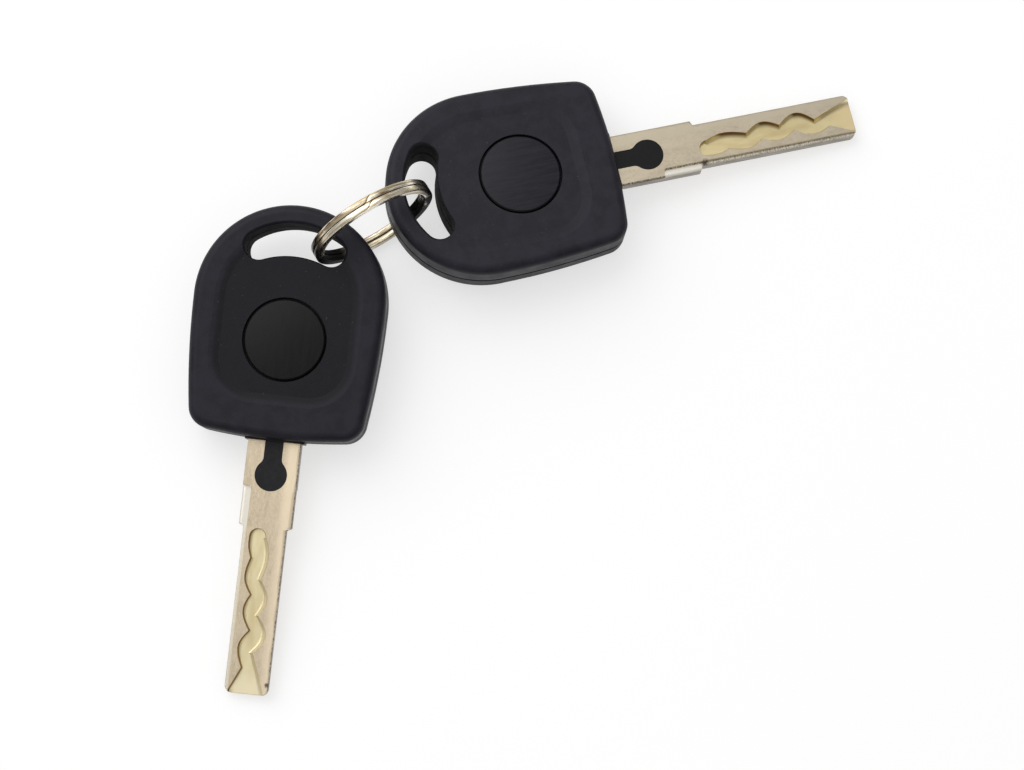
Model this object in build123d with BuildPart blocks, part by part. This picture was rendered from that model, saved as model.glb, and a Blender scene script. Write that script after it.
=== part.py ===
from build123d import *
from math import asin, atan2, cos, degrees, hypot, radians, sin, sqrt
import os

# Two alike car keys linked by a split ring, lying on a table. Millimetres, +Z up.
# A key is modelled flat about its badge centre: blade towards -Y, ring slot towards +Y,
# the head's seam in the XY plane. The pair is then laid on the table round its ring.

# Head of the key
HEAD_WIDTH = 33.3
HEAD_LENGTH = 40.6
HEAD_THICKNESS = 9.2
BADGE_TO_TOP = 23.5
SIDE_RADIUS = 140.0
BOTTOM_RADIUS = 100.0
CORNER_RADIUS = 3.8
FRONT_SHOULDER = 1.5
REAR_SHOULDER = 2.4
SEAM_CHAMFER = 0.2
SHELL_WALL = 1.6

# Ring slot through the head
SLOT_RIM = 3.25
SLOT_LOWER_RADIUS = 14.5
SLOT_END_SPACING = 12.6
SLOT_COLLAR = 1.4
SLOT_EDGE = 0.4

# Thumb dish round the badge
DISH_DEPTH = 0.22
DISH_RAMP = 1.8
DISH_SIDE_MARGIN = 3.8
DISH_BOTTOM_MARGIN = 5.7
DISH_CORNER = 8.0

# Badge disc and its seat
BADGE_RADIUS = 7.0
BADGE_GROOVE = 0.3
BADGE_THICKNESS = 1.4
BADGE_PROUD = 0.1
BADGE_RIM = 0.25
BADGE_BOSS_WALL = 1.2
STUD_RADIUS = 1.5
STUD_LENGTH = 1.1

# Locating pins between the shells
PIN_RADIUS = 0.9
PIN_LENGTH = 1.8
PIN_BOSS_RADIUS = 1.9
PIN_FROM_SIDE = 4.85
PIN_FROM_BOTTOM = 6.3

# Blade
BLADE_WIDTH = 9.2
BLADE_NARROW = 7.55
BLADE_THICKNESS = 2.6
BLADE_EXPOSED = 43.75
STEP_FROM_HEAD = 15.3
TIP_CORNER = 1.3
ROOT_NOTCH_RADIUS = 1.1
KEYHOLE_RADIUS = 2.8
KEYHOLE_FROM_HEAD = 6.1
NECK_WIDTH = 3.2
NECK_FLARE = 1.5
REBATE_FROM_HEAD = 8.2
REBATE_LINE = 3.15
REBATE_DEPTH = 0.7
REBATE_CORNER = 0.6

# Milled track: where the cutter's centre goes, across the blade and along it from the head
TRACK_CUTTER_RADIUS = 1.5
TRACK_WALL_TAPER = 15.0
TRACK_DEPTH = 0.85
TRACK_MOUTH = 6.6
MOUTH_FROM_TIP = 0.6
TRACK_PATH = [
    (-0.95, 17.35),
    (-0.42, 20.2),
    (-0.95, 23.8),
    (0.27, 27.1),
    (-0.64, 30.0),
    (0.8, 33.2),
    (-0.8, 36.2),
    (0.25, 39.75),
]

# Block moulded round the blade's root
COLLAR_WALL = 0.6
COLLAR_OUT = 0.25
COLLAR_CORNER = 0.5
BLOCK_WIDTH = 16.0
BLOCK_LENGTH = 6.0
ROOT_COVER = 0.9
TAIL_WIDTH = 8.0
TAIL_LENGTH = 5.0
TONGUE_SINK = 0.1

# Transponder capsule and its cradle
CHIP_LENGTH = 12.0
CHIP_WIDTH = 6.0
CHIP_THICKNESS = 3.0
CHIP_EDGE = 0.8
CRADLE_WALL = 0.8
CRADLE_HEIGHT = 1.8

# Split ring
RING_OUTER_RADIUS = 11.5
WIRE_RADIAL = 1.5
WIRE_AXIAL = 1.08
WIRE_CHAMFER = 0.25
TURN_GAP = 0.06
CROSSING_START = 83.0
CROSSING_ARC = 10.0
CROSSING_STATIONS = 9

# How the linked pair lies
RING_HEADING = 30.3
RING_LEAN = 3.5
KEY_A_YAW = -6.3
KEY_A_ROLL = 1.5
KEY_B_YAW = 102.8
KEY_B_ROLL = -4.5
SEAT_A_FROM_END = (-2.11, -0.27)
SEAT_B_FROM_EDGE = (0.52, 2.19)
RIM_REACH = 6.3

# Clearances, and how far a cutting tool runs past the face it enters by
FIT = 0.05
INNER_GAP = 0.4
CUT_PAST = 1.0

# Sizes that follow
head_half = HEAD_THICKNESS / 2
head_radius = HEAD_WIDTH / 2
head_arc_y = BADGE_TO_TOP - head_radius
head_bottom = BADGE_TO_TOP - HEAD_LENGTH
cavity_half = head_half - SHELL_WALL
blade_half = BLADE_THICKNESS / 2
blade_tip = head_bottom - BLADE_EXPOSED
dish_floor = head_half - DISH_DEPTH
seat_floor = dish_floor - BADGE_THICKNESS
seat_radius = BADGE_RADIUS + BADGE_GROOVE
boss_radius = seat_radius + BADGE_BOSS_WALL
boss_underside = seat_floor - BADGE_BOSS_WALL
collar_half_width = BLADE_WIDTH / 2 + COLLAR_WALL
collar_half_height = blade_half + COLLAR_WALL
bottom_bow = BOTTOM_RADIUS - sqrt(BOTTOM_RADIUS**2 - (BLOCK_WIDTH / 2) ** 2)
block_start = head_bottom + SHELL_WALL + bottom_bow + FIT
block_end = block_start + BLOCK_LENGTH
blade_root_end = block_end - ROOT_COVER
neck_end = (head_bottom + SHELL_WALL + blade_root_end) / 2
tail_end = block_end + TAIL_LENGTH
tail_top = boss_underside - INNER_GAP
chip_start = tail_end + INNER_GAP + CRADLE_WALL + FIT
pin_x = head_radius - PIN_FROM_SIDE
pin_lower_y = head_bottom + PIN_FROM_BOTTOM
pin_spots = [
    (-pin_x, head_arc_y),
    (pin_x, head_arc_y),
    (-pin_x, pin_lower_y),
    (pin_x, pin_lower_y),
]

# Round end of the slot: a circle that touches both of the slot's long arcs
slot_upper_radius = head_radius - SLOT_RIM
slot_end_x = SLOT_END_SPACING / 2
reach_half = (slot_upper_radius + SLOT_LOWER_RADIUS) / 2
focus_half = head_arc_y / 2
reach_side = sqrt(reach_half**2 - focus_half**2)
slot_end_y = focus_half + reach_half * sqrt(1 - (slot_end_x / reach_side) ** 2)
slot_end_radius = slot_upper_radius - hypot(slot_end_x, slot_end_y - head_arc_y)
upper_bearing = degrees(atan2(slot_end_y - head_arc_y, slot_end_x))
lower_bearing = degrees(atan2(slot_end_y, slot_end_x))
cavity_top = slot_end_y - slot_end_radius - SLOT_COLLAR


def head_outline():
    """Round top, slightly bowed sides and bottom, rounded bottom corners."""
    with BuildSketch() as outline:
        with Locations((head_radius - SIDE_RADIUS, head_arc_y)):
            Circle(SIDE_RADIUS)
        with Locations((SIDE_RADIUS - head_radius, head_arc_y)):
            Circle(SIDE_RADIUS, mode=Mode.INTERSECT)
        with Locations((0, head_bottom + BOTTOM_RADIUS)):
            Circle(BOTTOM_RADIUS, mode=Mode.INTERSECT)
        with Locations((0, head_arc_y)):
            Rectangle(
                2 * HEAD_WIDTH,
                2 * HEAD_LENGTH,
                align=(Align.CENTER, Align.MAX),
                mode=Mode.INTERSECT,
            )
        fillet(outline.vertices().group_by(Axis.Y)[0], CORNER_RADIUS)
        with Locations((0, head_arc_y)):
            Circle(head_radius)
    return outline.sketch


def slot_outline():
    """Arched slot of four arcs, each tangent to the next."""
    with BuildSketch() as slot:
        with BuildLine():
            CenterArc((0, 0), SLOT_LOWER_RADIUS, lower_bearing, 90 - lower_bearing)
            CenterArc(
                (slot_end_x, slot_end_y),
                slot_end_radius,
                lower_bearing - 180,
                upper_bearing + 180 - lower_bearing,
            )
            CenterArc((0, head_arc_y), slot_upper_radius, upper_bearing, 90 - upper_bearing)
            mirror(about=Plane.YZ)
        make_face()
    return slot.sketch


def dish_outline(inset):
    """Edge of the thumb dish, which runs round the slot's ends."""
    half_width = head_radius - DISH_SIDE_MARGIN - inset
    bottom = head_bottom + DISH_BOTTOM_MARGIN + inset
    with BuildSketch() as dish:
        with Locations((0, head_arc_y)):
            Rectangle(
                2 * half_width,
                head_arc_y - bottom,
                align=(Align.CENTER, Align.MAX),
            )
        fillet(dish.vertices().group_by(Axis.Y)[0], DISH_CORNER - inset)
        with Locations((0, head_arc_y)):
            Circle(half_width)
    return dish.sketch


def cavity_outline():
    """Hollow of a shell, below the solid part round the slot."""
    with BuildSketch() as cavity:
        add(head_outline())
        offset(amount=-SHELL_WALL)
        with Locations((0, cavity_top)):
            Rectangle(
                2 * HEAD_WIDTH,
                2 * HEAD_LENGTH,
                align=(Align.CENTER, Align.MAX),
                mode=Mode.INTERSECT,
            )
        fillet(cavity.vertices().group_by(Axis.Y)[-1], SHELL_WALL)
    return cavity.sketch


def keyhole_outline():
    """Round hole with a flared neck that runs back into the root."""
    hole_y = head_bottom - KEYHOLE_FROM_HEAD
    with BuildSketch() as keyhole:
        with Locations((0, hole_y)):
            Circle(KEYHOLE_RADIUS)
            Rectangle(NECK_WIDTH, neck_end - hole_y, align=(Align.CENTER, Align.MIN))
        corners = keyhole.vertices().filter_by_position(
            Axis.Y, hole_y + NECK_WIDTH / 2, hole_y + KEYHOLE_RADIUS
        )
        fillet(corners, NECK_FLARE)
    return keyhole.sketch


def blade_window(half_depth):
    """Cut in a shell's bottom wall where the moulded collar passes."""
    with Locations((0, head_bottom + SHELL_WALL / 2, 0)):
        Box(
            2 * (collar_half_width + FIT),
            3 * SHELL_WALL,
            2 * half_depth,
            mode=Mode.SUBTRACT,
        )


def make_front_shell():
    """Upper half of the head: dish, badge seat, ring slot and locating pins."""
    with BuildPart() as shell:
        with BuildSketch():
            add(head_outline())
        extrude(amount=head_half)
        fillet(shell.faces().sort_by(Axis.Z)[-1].edges(), FRONT_SHOULDER)
        with BuildSketch():
            add(slot_outline())
        extrude(amount=head_half, mode=Mode.SUBTRACT)
        chamfer(shell.faces().sort_by(Axis.Z)[-1].inner_wires()[0].edges(), SLOT_EDGE)
        chamfer(shell.faces().sort_by(Axis.Z)[0].edges(), SEAM_CHAMFER)
        with BuildSketch():
            add(cavity_outline())
        extrude(amount=cavity_half, mode=Mode.SUBTRACT)
        with BuildSketch(Plane.XY.offset(boss_underside)):
            Circle(boss_radius)
        extrude(until=Until.NEXT)
        with BuildSketch(Plane.XY.offset(head_half)):
            add(dish_outline(0))
        with BuildSketch(Plane.XY.offset(dish_floor)):
            add(dish_outline(DISH_RAMP))
        loft(mode=Mode.SUBTRACT)
        with BuildSketch(Plane.XY.offset(seat_floor)):
            Circle(seat_radius)
        extrude(amount=HEAD_THICKNESS, mode=Mode.SUBTRACT)
        with Locations((0, 0, seat_floor)):
            Hole(STUD_RADIUS + FIT, depth=BADGE_BOSS_WALL)
        with BuildSketch():
            with Locations(*pin_spots):
                Circle(PIN_BOSS_RADIUS)
        extrude(until=Until.NEXT)
        with BuildSketch():
            with Locations(*pin_spots):
                Circle(PIN_RADIUS)
        extrude(amount=-PIN_LENGTH)
        blade_window(collar_half_height + FIT)
    return shell.part


def make_rear_shell():
    """Lower half of the head: plain outside, sockets and capsule cradle inside."""
    with BuildPart() as shell:
        with BuildSketch():
            add(head_outline())
        extrude(amount=-head_half)
        fillet(shell.faces().sort_by(Axis.Z)[0].edges(), REAR_SHOULDER)
        with BuildSketch():
            add(slot_outline())
        extrude(amount=-head_half, mode=Mode.SUBTRACT)
        chamfer(shell.faces().sort_by(Axis.Z)[0].inner_wires()[0].edges(), SLOT_EDGE)
        chamfer(shell.faces().sort_by(Axis.Z)[-1].edges(), SEAM_CHAMFER)
        with BuildSketch():
            add(cavity_outline())
        extrude(amount=-cavity_half, mode=Mode.SUBTRACT)
        with BuildSketch(Plane.XY.offset(-cavity_half)):
            with Locations((0, chip_start - FIT - CRADLE_WALL)):
                Rectangle(
                    CHIP_WIDTH + 2 * (CRADLE_WALL + FIT),
                    CHIP_LENGTH + 2 * (CRADLE_WALL + FIT),
                    align=(Align.CENTER, Align.MIN),
                )
        extrude(amount=CRADLE_HEIGHT)
        with BuildSketch(Plane.XY.offset(-cavity_half)):
            with Locations((0, chip_start - FIT)):
                Rectangle(
                    CHIP_WIDTH + 2 * FIT,
                    CHIP_LENGTH + 2 * FIT,
                    align=(Align.CENTER, Align.MIN),
                )
        extrude(amount=CRADLE_HEIGHT, mode=Mode.SUBTRACT)
        with BuildSketch():
            with Locations(*pin_spots):
                Circle(PIN_BOSS_RADIUS)
        extrude(until=Until.NEXT, dir=(0, 0, -1))
        with Locations(*[(x, y, 0) for x, y in pin_spots]):
            Hole(PIN_RADIUS + FIT, depth=PIN_LENGTH + 2 * FIT)
        blade_window(collar_half_height + FIT)
    return shell.part


def make_badge_disc():
    """Plain disc with a chamfered rim, standing a little proud, and a stud behind it."""
    with BuildPart() as badge:
        with BuildSketch(Plane.XY.offset(seat_floor)):
            Circle(BADGE_RADIUS)
        extrude(amount=BADGE_THICKNESS + BADGE_PROUD)
        chamfer(badge.faces().sort_by(Axis.Z)[-1].edges(), BADGE_RIM)
        with BuildSketch(Plane.XY.offset(seat_floor)):
            Circle(STUD_RADIUS)
        extrude(amount=-STUD_LENGTH)
    return badge.part


def milled_face():
    """What the cutters take from one face of the blade: the wavy track and the rebate."""
    with BuildPart() as milling:
        for start, finish in zip(TRACK_PATH, TRACK_PATH[1:]):
            across = finish[0] - start[0]
            along = finish[1] - start[1]
            middle = ((start[0] + finish[0]) / 2, head_bottom - (start[1] + finish[1]) / 2)
            with BuildSketch(Plane.XY.offset(blade_half)):
                with Locations(middle):
                    SlotCenterToCenter(
                        hypot(across, along),
                        2 * TRACK_CUTTER_RADIUS,
                        rotation=degrees(atan2(-along, across)),
                    )
            extrude(amount=-TRACK_DEPTH, taper=TRACK_WALL_TAPER)
        last_across, last_along = TRACK_PATH[-1]
        with BuildSketch(Plane.XY.offset(blade_half)):
            with Locations((last_across, head_bottom - last_along)):
                Circle(TRACK_CUTTER_RADIUS)
            with Locations((0, blade_tip + MOUTH_FROM_TIP)):
                Rectangle(
                    TRACK_MOUTH,
                    MOUTH_FROM_TIP + CUT_PAST,
                    align=(Align.CENTER, Align.MAX),
                )
            make_hull()
        extrude(amount=-TRACK_DEPTH, taper=TRACK_WALL_TAPER)
        with BuildSketch(Plane.XY.offset(blade_half - REBATE_DEPTH)) as rebate:
            with Locations((-REBATE_LINE, head_bottom - REBATE_FROM_HEAD)):
                Rectangle(BLADE_WIDTH, BLADE_EXPOSED, align=(Align.MAX, Align.MAX))
            fillet(rebate.vertices().group_by(Axis.Y)[-1].sort_by(Axis.X)[-1], REBATE_CORNER)
        extrude(amount=REBATE_DEPTH + CUT_PAST)
    return milling.part


def make_blade():
    """Flat blade: wide shoulder, narrow bitted length, milled alike on both faces."""
    with BuildPart() as blade:
        with BuildSketch(Plane.XY.offset(-blade_half)) as outline:
            with Locations((0, blade_root_end)):
                Rectangle(
                    BLADE_WIDTH,
                    blade_root_end - head_bottom + STEP_FROM_HEAD,
                    align=(Align.CENTER, Align.MAX),
                )
            with Locations((0, head_bottom)):
                Rectangle(BLADE_NARROW, BLADE_EXPOSED, align=(Align.CENTER, Align.MAX))
            fillet(outline.vertices().group_by(Axis.Y)[0], TIP_CORNER)
            with Locations((-BLADE_WIDTH / 2, neck_end), (BLADE_WIDTH / 2, neck_end)):
                Circle(ROOT_NOTCH_RADIUS, mode=Mode.SUBTRACT)
            add(keyhole_outline(), mode=Mode.SUBTRACT)
        extrude(amount=BLADE_THICKNESS)
        milling = milled_face()
        add(milling, mode=Mode.SUBTRACT)
        add(milling.rotate(Axis.Y, 180), mode=Mode.SUBTRACT)
    return blade.part


def make_blade_carrier(blade):
    """Block moulded round the root, with a collar outside and a tongue in the keyhole."""
    with BuildPart() as carrier:
        with BuildSketch(Plane.XZ.offset(-head_bottom + COLLAR_OUT)):
            RectangleRounded(2 * collar_half_width, 2 * collar_half_height, COLLAR_CORNER)
        extrude(amount=-(COLLAR_OUT + SHELL_WALL + BLOCK_LENGTH / 2))
        with BuildSketch(Plane.XY.offset(-cavity_half + FIT)):
            with Locations((0, block_start)):
                Rectangle(BLOCK_WIDTH, BLOCK_LENGTH, align=(Align.CENTER, Align.MIN))
        extrude(amount=2 * (cavity_half - FIT))
        with BuildSketch(Plane.XY.offset(-cavity_half + FIT)):
            with Locations((0, block_end)):
                Rectangle(TAIL_WIDTH, TAIL_LENGTH, align=(Align.CENTER, Align.MIN))
        extrude(amount=tail_top + cavity_half - FIT)
        add(blade, mode=Mode.SUBTRACT)
        with BuildSketch(Plane.XY.offset(-blade_half + TONGUE_SINK)):
            add(keyhole_outline())
        extrude(amount=BLADE_THICKNESS - 2 * TONGUE_SINK)
    return carrier.part


def make_transponder_chip():
    """Small capsule with rounded long edges, lying in the rear shell's cradle."""
    with BuildPart() as chip:
        with BuildSketch(Plane.XY.offset(-cavity_half)):
            with Locations((0, chip_start)):
                Rectangle(CHIP_WIDTH, CHIP_LENGTH, align=(Align.CENTER, Align.MIN))
        extrude(amount=CHIP_THICKNESS)
        fillet(chip.edges().filter_by(Axis.Y), CHIP_EDGE)
    return chip.part


def make_split_ring():
    """Flat wire in two turns about Z, crossing from one turn to the other."""
    mean_radius = RING_OUTER_RADIUS - WIRE_RADIAL / 2
    turn_height = (WIRE_AXIAL + TURN_GAP) / 2

    def wire_section(bearing, height):
        radial = Vector(cos(radians(bearing)), sin(radians(bearing)), 0)
        plane = Plane(
            origin=radial * mean_radius + Vector(0, 0, height),
            x_dir=radial,
            z_dir=Vector(sin(radians(bearing)), -cos(radians(bearing)), 0),
        )
        with BuildSketch(plane) as section:
            Rectangle(WIRE_RADIAL, WIRE_AXIAL)
            chamfer(section.vertices(), WIRE_CHAMFER)
        return section.sketch

    with BuildPart() as ring:
        turn_start = CROSSING_START + CROSSING_ARC
        for height in (-turn_height, turn_height):
            revolve(
                wire_section(turn_start, height).faces(),
                axis=Axis.Z,
                revolution_arc=360 - CROSSING_ARC,
            )
        sections = []
        for station in range(CROSSING_STATIONS):
            share = station / (CROSSING_STATIONS - 1)
            rise = turn_height * (2 * share**2 * (3 - 2 * share) - 1)
            sections.append(wire_section(CROSSING_START + share * CROSSING_ARC, rise).face())
        loft(sections)
    return ring.part


def rest_turn(yaw, pitch, roll):
    """Heading, then nose-down pitch about the key's own X, then roll about its own Y."""
    return Rot(0, 0, yaw) * Rot(pitch, 0, 0) * Rot(0, -roll, 0)


def lay_key(turn, seat, wire_side, pieces):
    """Place of a key whose slot holds the ring's wire and whose lowest point is on Z = 0."""
    lowest = min((turn * piece).bounding_box().min.Z for piece in pieces)
    seat_turned = turn * Pos(seat[0], seat[1], 0)
    seat_height = seat_turned.position.Z - lowest
    wire_reach = sqrt(ring_mean_radius**2 - (RING_OUTER_RADIUS - seat_height) ** 2)
    seat_place = ring_heading_dir * (wire_side * wire_reach)
    lean_shift = ring_side_dir * (seat_height * sin(radians(RING_LEAN)))
    origin = seat_place + lean_shift - Vector(seat_turned.position.X, seat_turned.position.Y, 0)
    return Pos(origin.X, origin.Y, -lowest) * turn


os.makedirs("parts", exist_ok=True)

blade = make_blade()
key_pieces = {
    "head_front_shell": make_front_shell(),
    "head_rear_shell": make_rear_shell(),
    "badge_disc": make_badge_disc(),
    "blade": blade,
    "blade_carrier": make_blade_carrier(blade),
    "transponder_chip": make_transponder_chip(),
}
split_ring = make_split_ring()

# The ring stands on the table; the head's rim lies over its lower strand, which
# tips each key nose down until its blade touches the table.
ring_mean_radius = RING_OUTER_RADIUS - WIRE_RADIAL / 2
ring_inner_radius = RING_OUTER_RADIUS - WIRE_RADIAL
rim_lift = RING_OUTER_RADIUS - sqrt(ring_inner_radius**2 - RIM_REACH**2)
rim_to_tip = slot_end_y - blade_tip
rest_pitch = degrees(asin((rim_lift + head_half - blade_half) / rim_to_tip))
ring_heading_dir = Vector(cos(radians(RING_HEADING)), sin(radians(RING_HEADING)), 0)
ring_side_dir = Vector(-sin(radians(RING_HEADING)), cos(radians(RING_HEADING)), 0)

seat_a = (slot_end_x + SEAT_A_FROM_END[0], slot_end_y + SEAT_A_FROM_END[1])
seat_b = (SEAT_B_FROM_EDGE[0], SLOT_LOWER_RADIUS + SEAT_B_FROM_EDGE[1])
shells = [key_pieces["head_rear_shell"], key_pieces["blade"]]
key_a_place = lay_key(rest_turn(KEY_A_YAW, rest_pitch, KEY_A_ROLL), seat_a, -1, shells)
key_b_place = lay_key(rest_turn(KEY_B_YAW, rest_pitch, KEY_B_ROLL), seat_b, 1, shells)

ring_up_dir = Vector(0, 0, cos(radians(RING_LEAN))) + ring_side_dir * sin(radians(RING_LEAN))
ring_plane = Plane(
    origin=ring_up_dir * RING_OUTER_RADIUS,
    x_dir=ring_heading_dir,
    z_dir=ring_heading_dir.cross(ring_up_dir),
)

placed = {}
for key_name, place in (("key_a", key_a_place), ("key_b", key_b_place)):
    for piece_name, piece in key_pieces.items():
        placed[f"{key_name}_{piece_name}"] = place * piece
placed["split_ring"] = ring_plane.location * split_ring

# The origin is the middle of the pair's outline, on the table
boxes = [piece.bounding_box() for piece in placed.values()]
middle_x = (min(box.min.X for box in boxes) + max(box.max.X for box in boxes)) / 2
middle_y = (min(box.min.Y for box in boxes) + max(box.max.Y for box in boxes)) / 2
lowest_z = min(box.min.Z for box in boxes)
for node_name, piece in placed.items():
    laid = Pos(-middle_x, -middle_y, -lowest_z) * piece
    laid.label = node_name
    export_step(laid, f"parts/{node_name}.step")
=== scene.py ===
# %% [markdown]
# Two alike car keys hang on one flat split ring and lie on a table, seen almost from above.
# The shapes of the heads, and of what is in them, come from the measured model, which is
# loaded first. What this scene adds is how the object looks: moulded black plastic, blades
# of nickel-plated steel worn by a lock, and a springy ring whose wire has softer edges than
# the measured one.

# %% Load the measured pieces
import math

import bmesh
import bpy
from mathutils import Matrix, Vector


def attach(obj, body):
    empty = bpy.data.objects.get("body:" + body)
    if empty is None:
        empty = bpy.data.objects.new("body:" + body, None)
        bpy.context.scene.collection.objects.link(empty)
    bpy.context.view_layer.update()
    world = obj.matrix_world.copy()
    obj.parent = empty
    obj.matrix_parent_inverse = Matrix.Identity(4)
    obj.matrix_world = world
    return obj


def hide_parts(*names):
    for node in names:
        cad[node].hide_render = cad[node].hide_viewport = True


MM = 0.001
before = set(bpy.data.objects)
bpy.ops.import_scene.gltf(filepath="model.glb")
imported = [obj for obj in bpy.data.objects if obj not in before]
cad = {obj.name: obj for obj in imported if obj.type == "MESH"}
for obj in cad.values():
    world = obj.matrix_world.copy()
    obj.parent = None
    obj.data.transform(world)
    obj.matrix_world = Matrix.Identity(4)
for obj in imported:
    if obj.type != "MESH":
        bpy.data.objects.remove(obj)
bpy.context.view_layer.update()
print("measured pieces:", sorted(cad))

# %% [markdown]
# Every mark on a key belongs to the key, not to the table it lies on. So each piece gets
# its own axes, and a pattern is drawn in the piece's own millimetres. A key's axes run
# across the head, up towards the ring, and out of the face with the badge. The ring's
# axes run along its heading, up, and out of its flat side. The numbers say where the
# middle is and how the piece is turned as it lies.

# %% Where the pieces lie
PLACES = {
    "key_a": {
        "origin": (-41.490, 7.049, 6.992),
        "across": (0.993357, -0.112085, 0.026066),
        "along": (0.109271, 0.989763, 0.091806),
    },
    "key_b": {
        "origin": (-1.485, 35.517, 7.095),
        "across": (-0.227890, 0.970547, -0.078128),
        "along": (-0.971031, -0.220613, 0.091806),
    },
    "ring": {
        "origin": (-26.822, 27.283, 11.531),
        "across": (0.863396, 0.504528, 0.0),
        "along": (-0.030801, 0.052709, 0.998135),
    },
}


def place_matrix(piece):
    """Turns a piece's own millimetres into the scene's metres."""
    place = PLACES[piece]
    across = Vector(place["across"]).normalized()
    along = Vector(place["along"])
    along = (along - across * along.dot(across)).normalized()
    facing = across.cross(along)
    turn = Matrix((across, along, facing)).transposed().to_4x4()
    shift = Matrix.Translation(Vector(place["origin"]) * MM)
    return shift @ turn @ Matrix.Scale(MM, 4)


for piece in PLACES:
    print(piece, "middle at", [round(v, 4) for v in place_matrix(piece).translation])

# %% [markdown]
# A camera with a long lens flattens perspective, as in a product photo. It looks down
# at the table from nearly overhead, half a metre away.

# %% Camera
CAMERA_ELEVATION = 79.668
CAMERA_DISTANCE = 489.45 * MM
CAMERA_TARGET = Vector((-2.640, -0.623, 8.0)) * MM
camera_data = bpy.data.cameras.new("camera")
camera_data.lens = 100.0
camera_data.sensor_width = 36.0
camera_data.clip_start = 0.01
camera = bpy.data.objects.new("camera", camera_data)
bpy.context.scene.collection.objects.link(camera)
lift = math.radians(CAMERA_ELEVATION)
back = Vector((0.0, -math.cos(lift), math.sin(lift)))
camera.location = CAMERA_TARGET + back * CAMERA_DISTANCE
camera.rotation_euler = back.to_track_quat("Z", "Y").to_euler()
bpy.context.scene.camera = camera
print("camera at", [round(v, 3) for v in camera.location])

# %% [markdown]
# A material is a small network of nodes. These helpers keep each network short to read:
# they add a node with its values filled in, do sums, ease a value from one number to
# another, draw noise, and mix or lay colours over each other.


# %% Helpers for a network of nodes
def new_material(name):
    """An empty node material."""
    material = bpy.data.materials.new(name)
    material.use_nodes = True
    material.node_tree.nodes.clear()
    return material


def feed(tree, socket, value):
    """Links a socket to another one, or fills in a plain value."""
    if isinstance(value, bpy.types.NodeSocket):
        tree.links.new(value, socket)
    else:
        socket.default_value = value


def add_node(tree, kind, settings=None, **inputs):
    """A node with its settings, and values or links for its inputs."""
    node = tree.nodes.new(kind)
    for name, value in (settings or {}).items():
        setattr(node, name, value)
    for name, value in inputs.items():
        feed(tree, node.inputs[name.replace("_", " ")], value)
    return node


def finish_surface(tree, shader):
    """Links a shader to the material's output."""
    output = add_node(tree, "ShaderNodeOutputMaterial")
    tree.links.new(shader.outputs[0], output.inputs["Surface"])


def skin(tree, **inputs):
    """The surface of a material: the Principled shader with its inputs."""
    finish_surface(tree, add_node(tree, "ShaderNodeBsdfPrincipled", **inputs))


# %% Helpers for sums
def reckon(tree, operation, *values):
    """One sum of the Math node."""
    node = tree.nodes.new("ShaderNodeMath")
    node.operation = operation
    for socket, value in zip(node.inputs, values):
        feed(tree, socket, value)
    return node.outputs[0]


def plus(tree, first, second):
    """The sum of two values."""
    return reckon(tree, "ADD", first, second)


def minus(tree, first, second):
    """The difference of two values."""
    return reckon(tree, "SUBTRACT", first, second)


def times(tree, product, *others):
    """The product of all the values."""
    for other in others:
        product = reckon(tree, "MULTIPLY", product, other)
    return product


def reach(tree, across, along):
    """Distance covered by going so far across and so far along."""
    square = plus(tree, times(tree, across, across), times(tree, along, along))
    return reckon(tree, "SQRT", square)


def ramp(tree, value, start, stop, low=0.0, high=1.0):
    """Eases from low to high while the value goes from start to stop."""
    node = tree.nodes.new("ShaderNodeMapRange")
    node.interpolation_type = "SMOOTHSTEP"
    span = {"Value": value, "From Min": start, "From Max": stop, "To Min": low, "To Max": high}
    for name, number in span.items():
        feed(tree, node.inputs[name], number)
    return node.outputs["Result"]


# %% Helpers for places, noise and bumps
def own_millimetres(tree, piece):
    """Object coordinates turned into the piece's own millimetres."""
    source = add_node(tree, "ShaderNodeTexCoord")
    mapping = add_node(tree, "ShaderNodeMapping", {"vector_type": "POINT"})
    to_piece = place_matrix(piece).inverted()
    mapping.inputs["Location"].default_value = to_piece.translation
    mapping.inputs["Rotation"].default_value = to_piece.to_quaternion().to_euler("XYZ")
    mapping.inputs["Scale"].default_value = (1 / MM, 1 / MM, 1 / MM)
    tree.links.new(source.outputs["Object"], mapping.inputs["Vector"])
    return mapping.outputs["Vector"]


def split_axes(tree, vector):
    """The three parts of a vector."""
    node = add_node(tree, "ShaderNodeSeparateXYZ", Vector=vector)
    return node.outputs["X"], node.outputs["Y"], node.outputs["Z"]


def stretch(tree, vector, scale):
    """The same place, with each axis scaled, so a noise on it is drawn out."""
    node = add_node(tree, "ShaderNodeVectorMath", {"operation": "MULTIPLY"})
    feed(tree, node.inputs[0], vector)
    node.inputs[1].default_value = scale
    return node.outputs["Vector"]


def noise(tree, vector, scale, detail=2.0, roughness=0.5):
    """Cloudy noise from 0 to 1."""
    node = add_node(tree, "ShaderNodeTexNoise", Vector=vector, Scale=scale, Detail=detail)
    node.inputs["Roughness"].default_value = roughness
    return node.outputs["Fac"]


def bump(tree, height, strength, distance):
    """A normal that a height tilts."""
    node = add_node(tree, "ShaderNodeBump", Strength=strength, Distance=distance, Height=height)
    return node.outputs["Normal"]


# %% Helpers for colours
def colour(red, green, blue):
    """A colour from the 0 to 255 values a paint program shows."""

    def linear(step):
        part = step / 255.0
        if part <= 0.04045:
            return part / 12.92
        return ((part + 0.055) / 1.055) ** 2.4

    return (linear(red), linear(green), linear(blue), 1.0)


def mix_colours(tree, share, first, second):
    """Mixes two colours by a share from 0 to 1."""
    node = tree.nodes.new("ShaderNodeMix")
    node.data_type = "RGBA"
    feed(tree, node.inputs["Factor"], share)
    feed(tree, node.inputs["A"], first)
    feed(tree, node.inputs["B"], second)
    return node.outputs["Result"]


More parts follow.
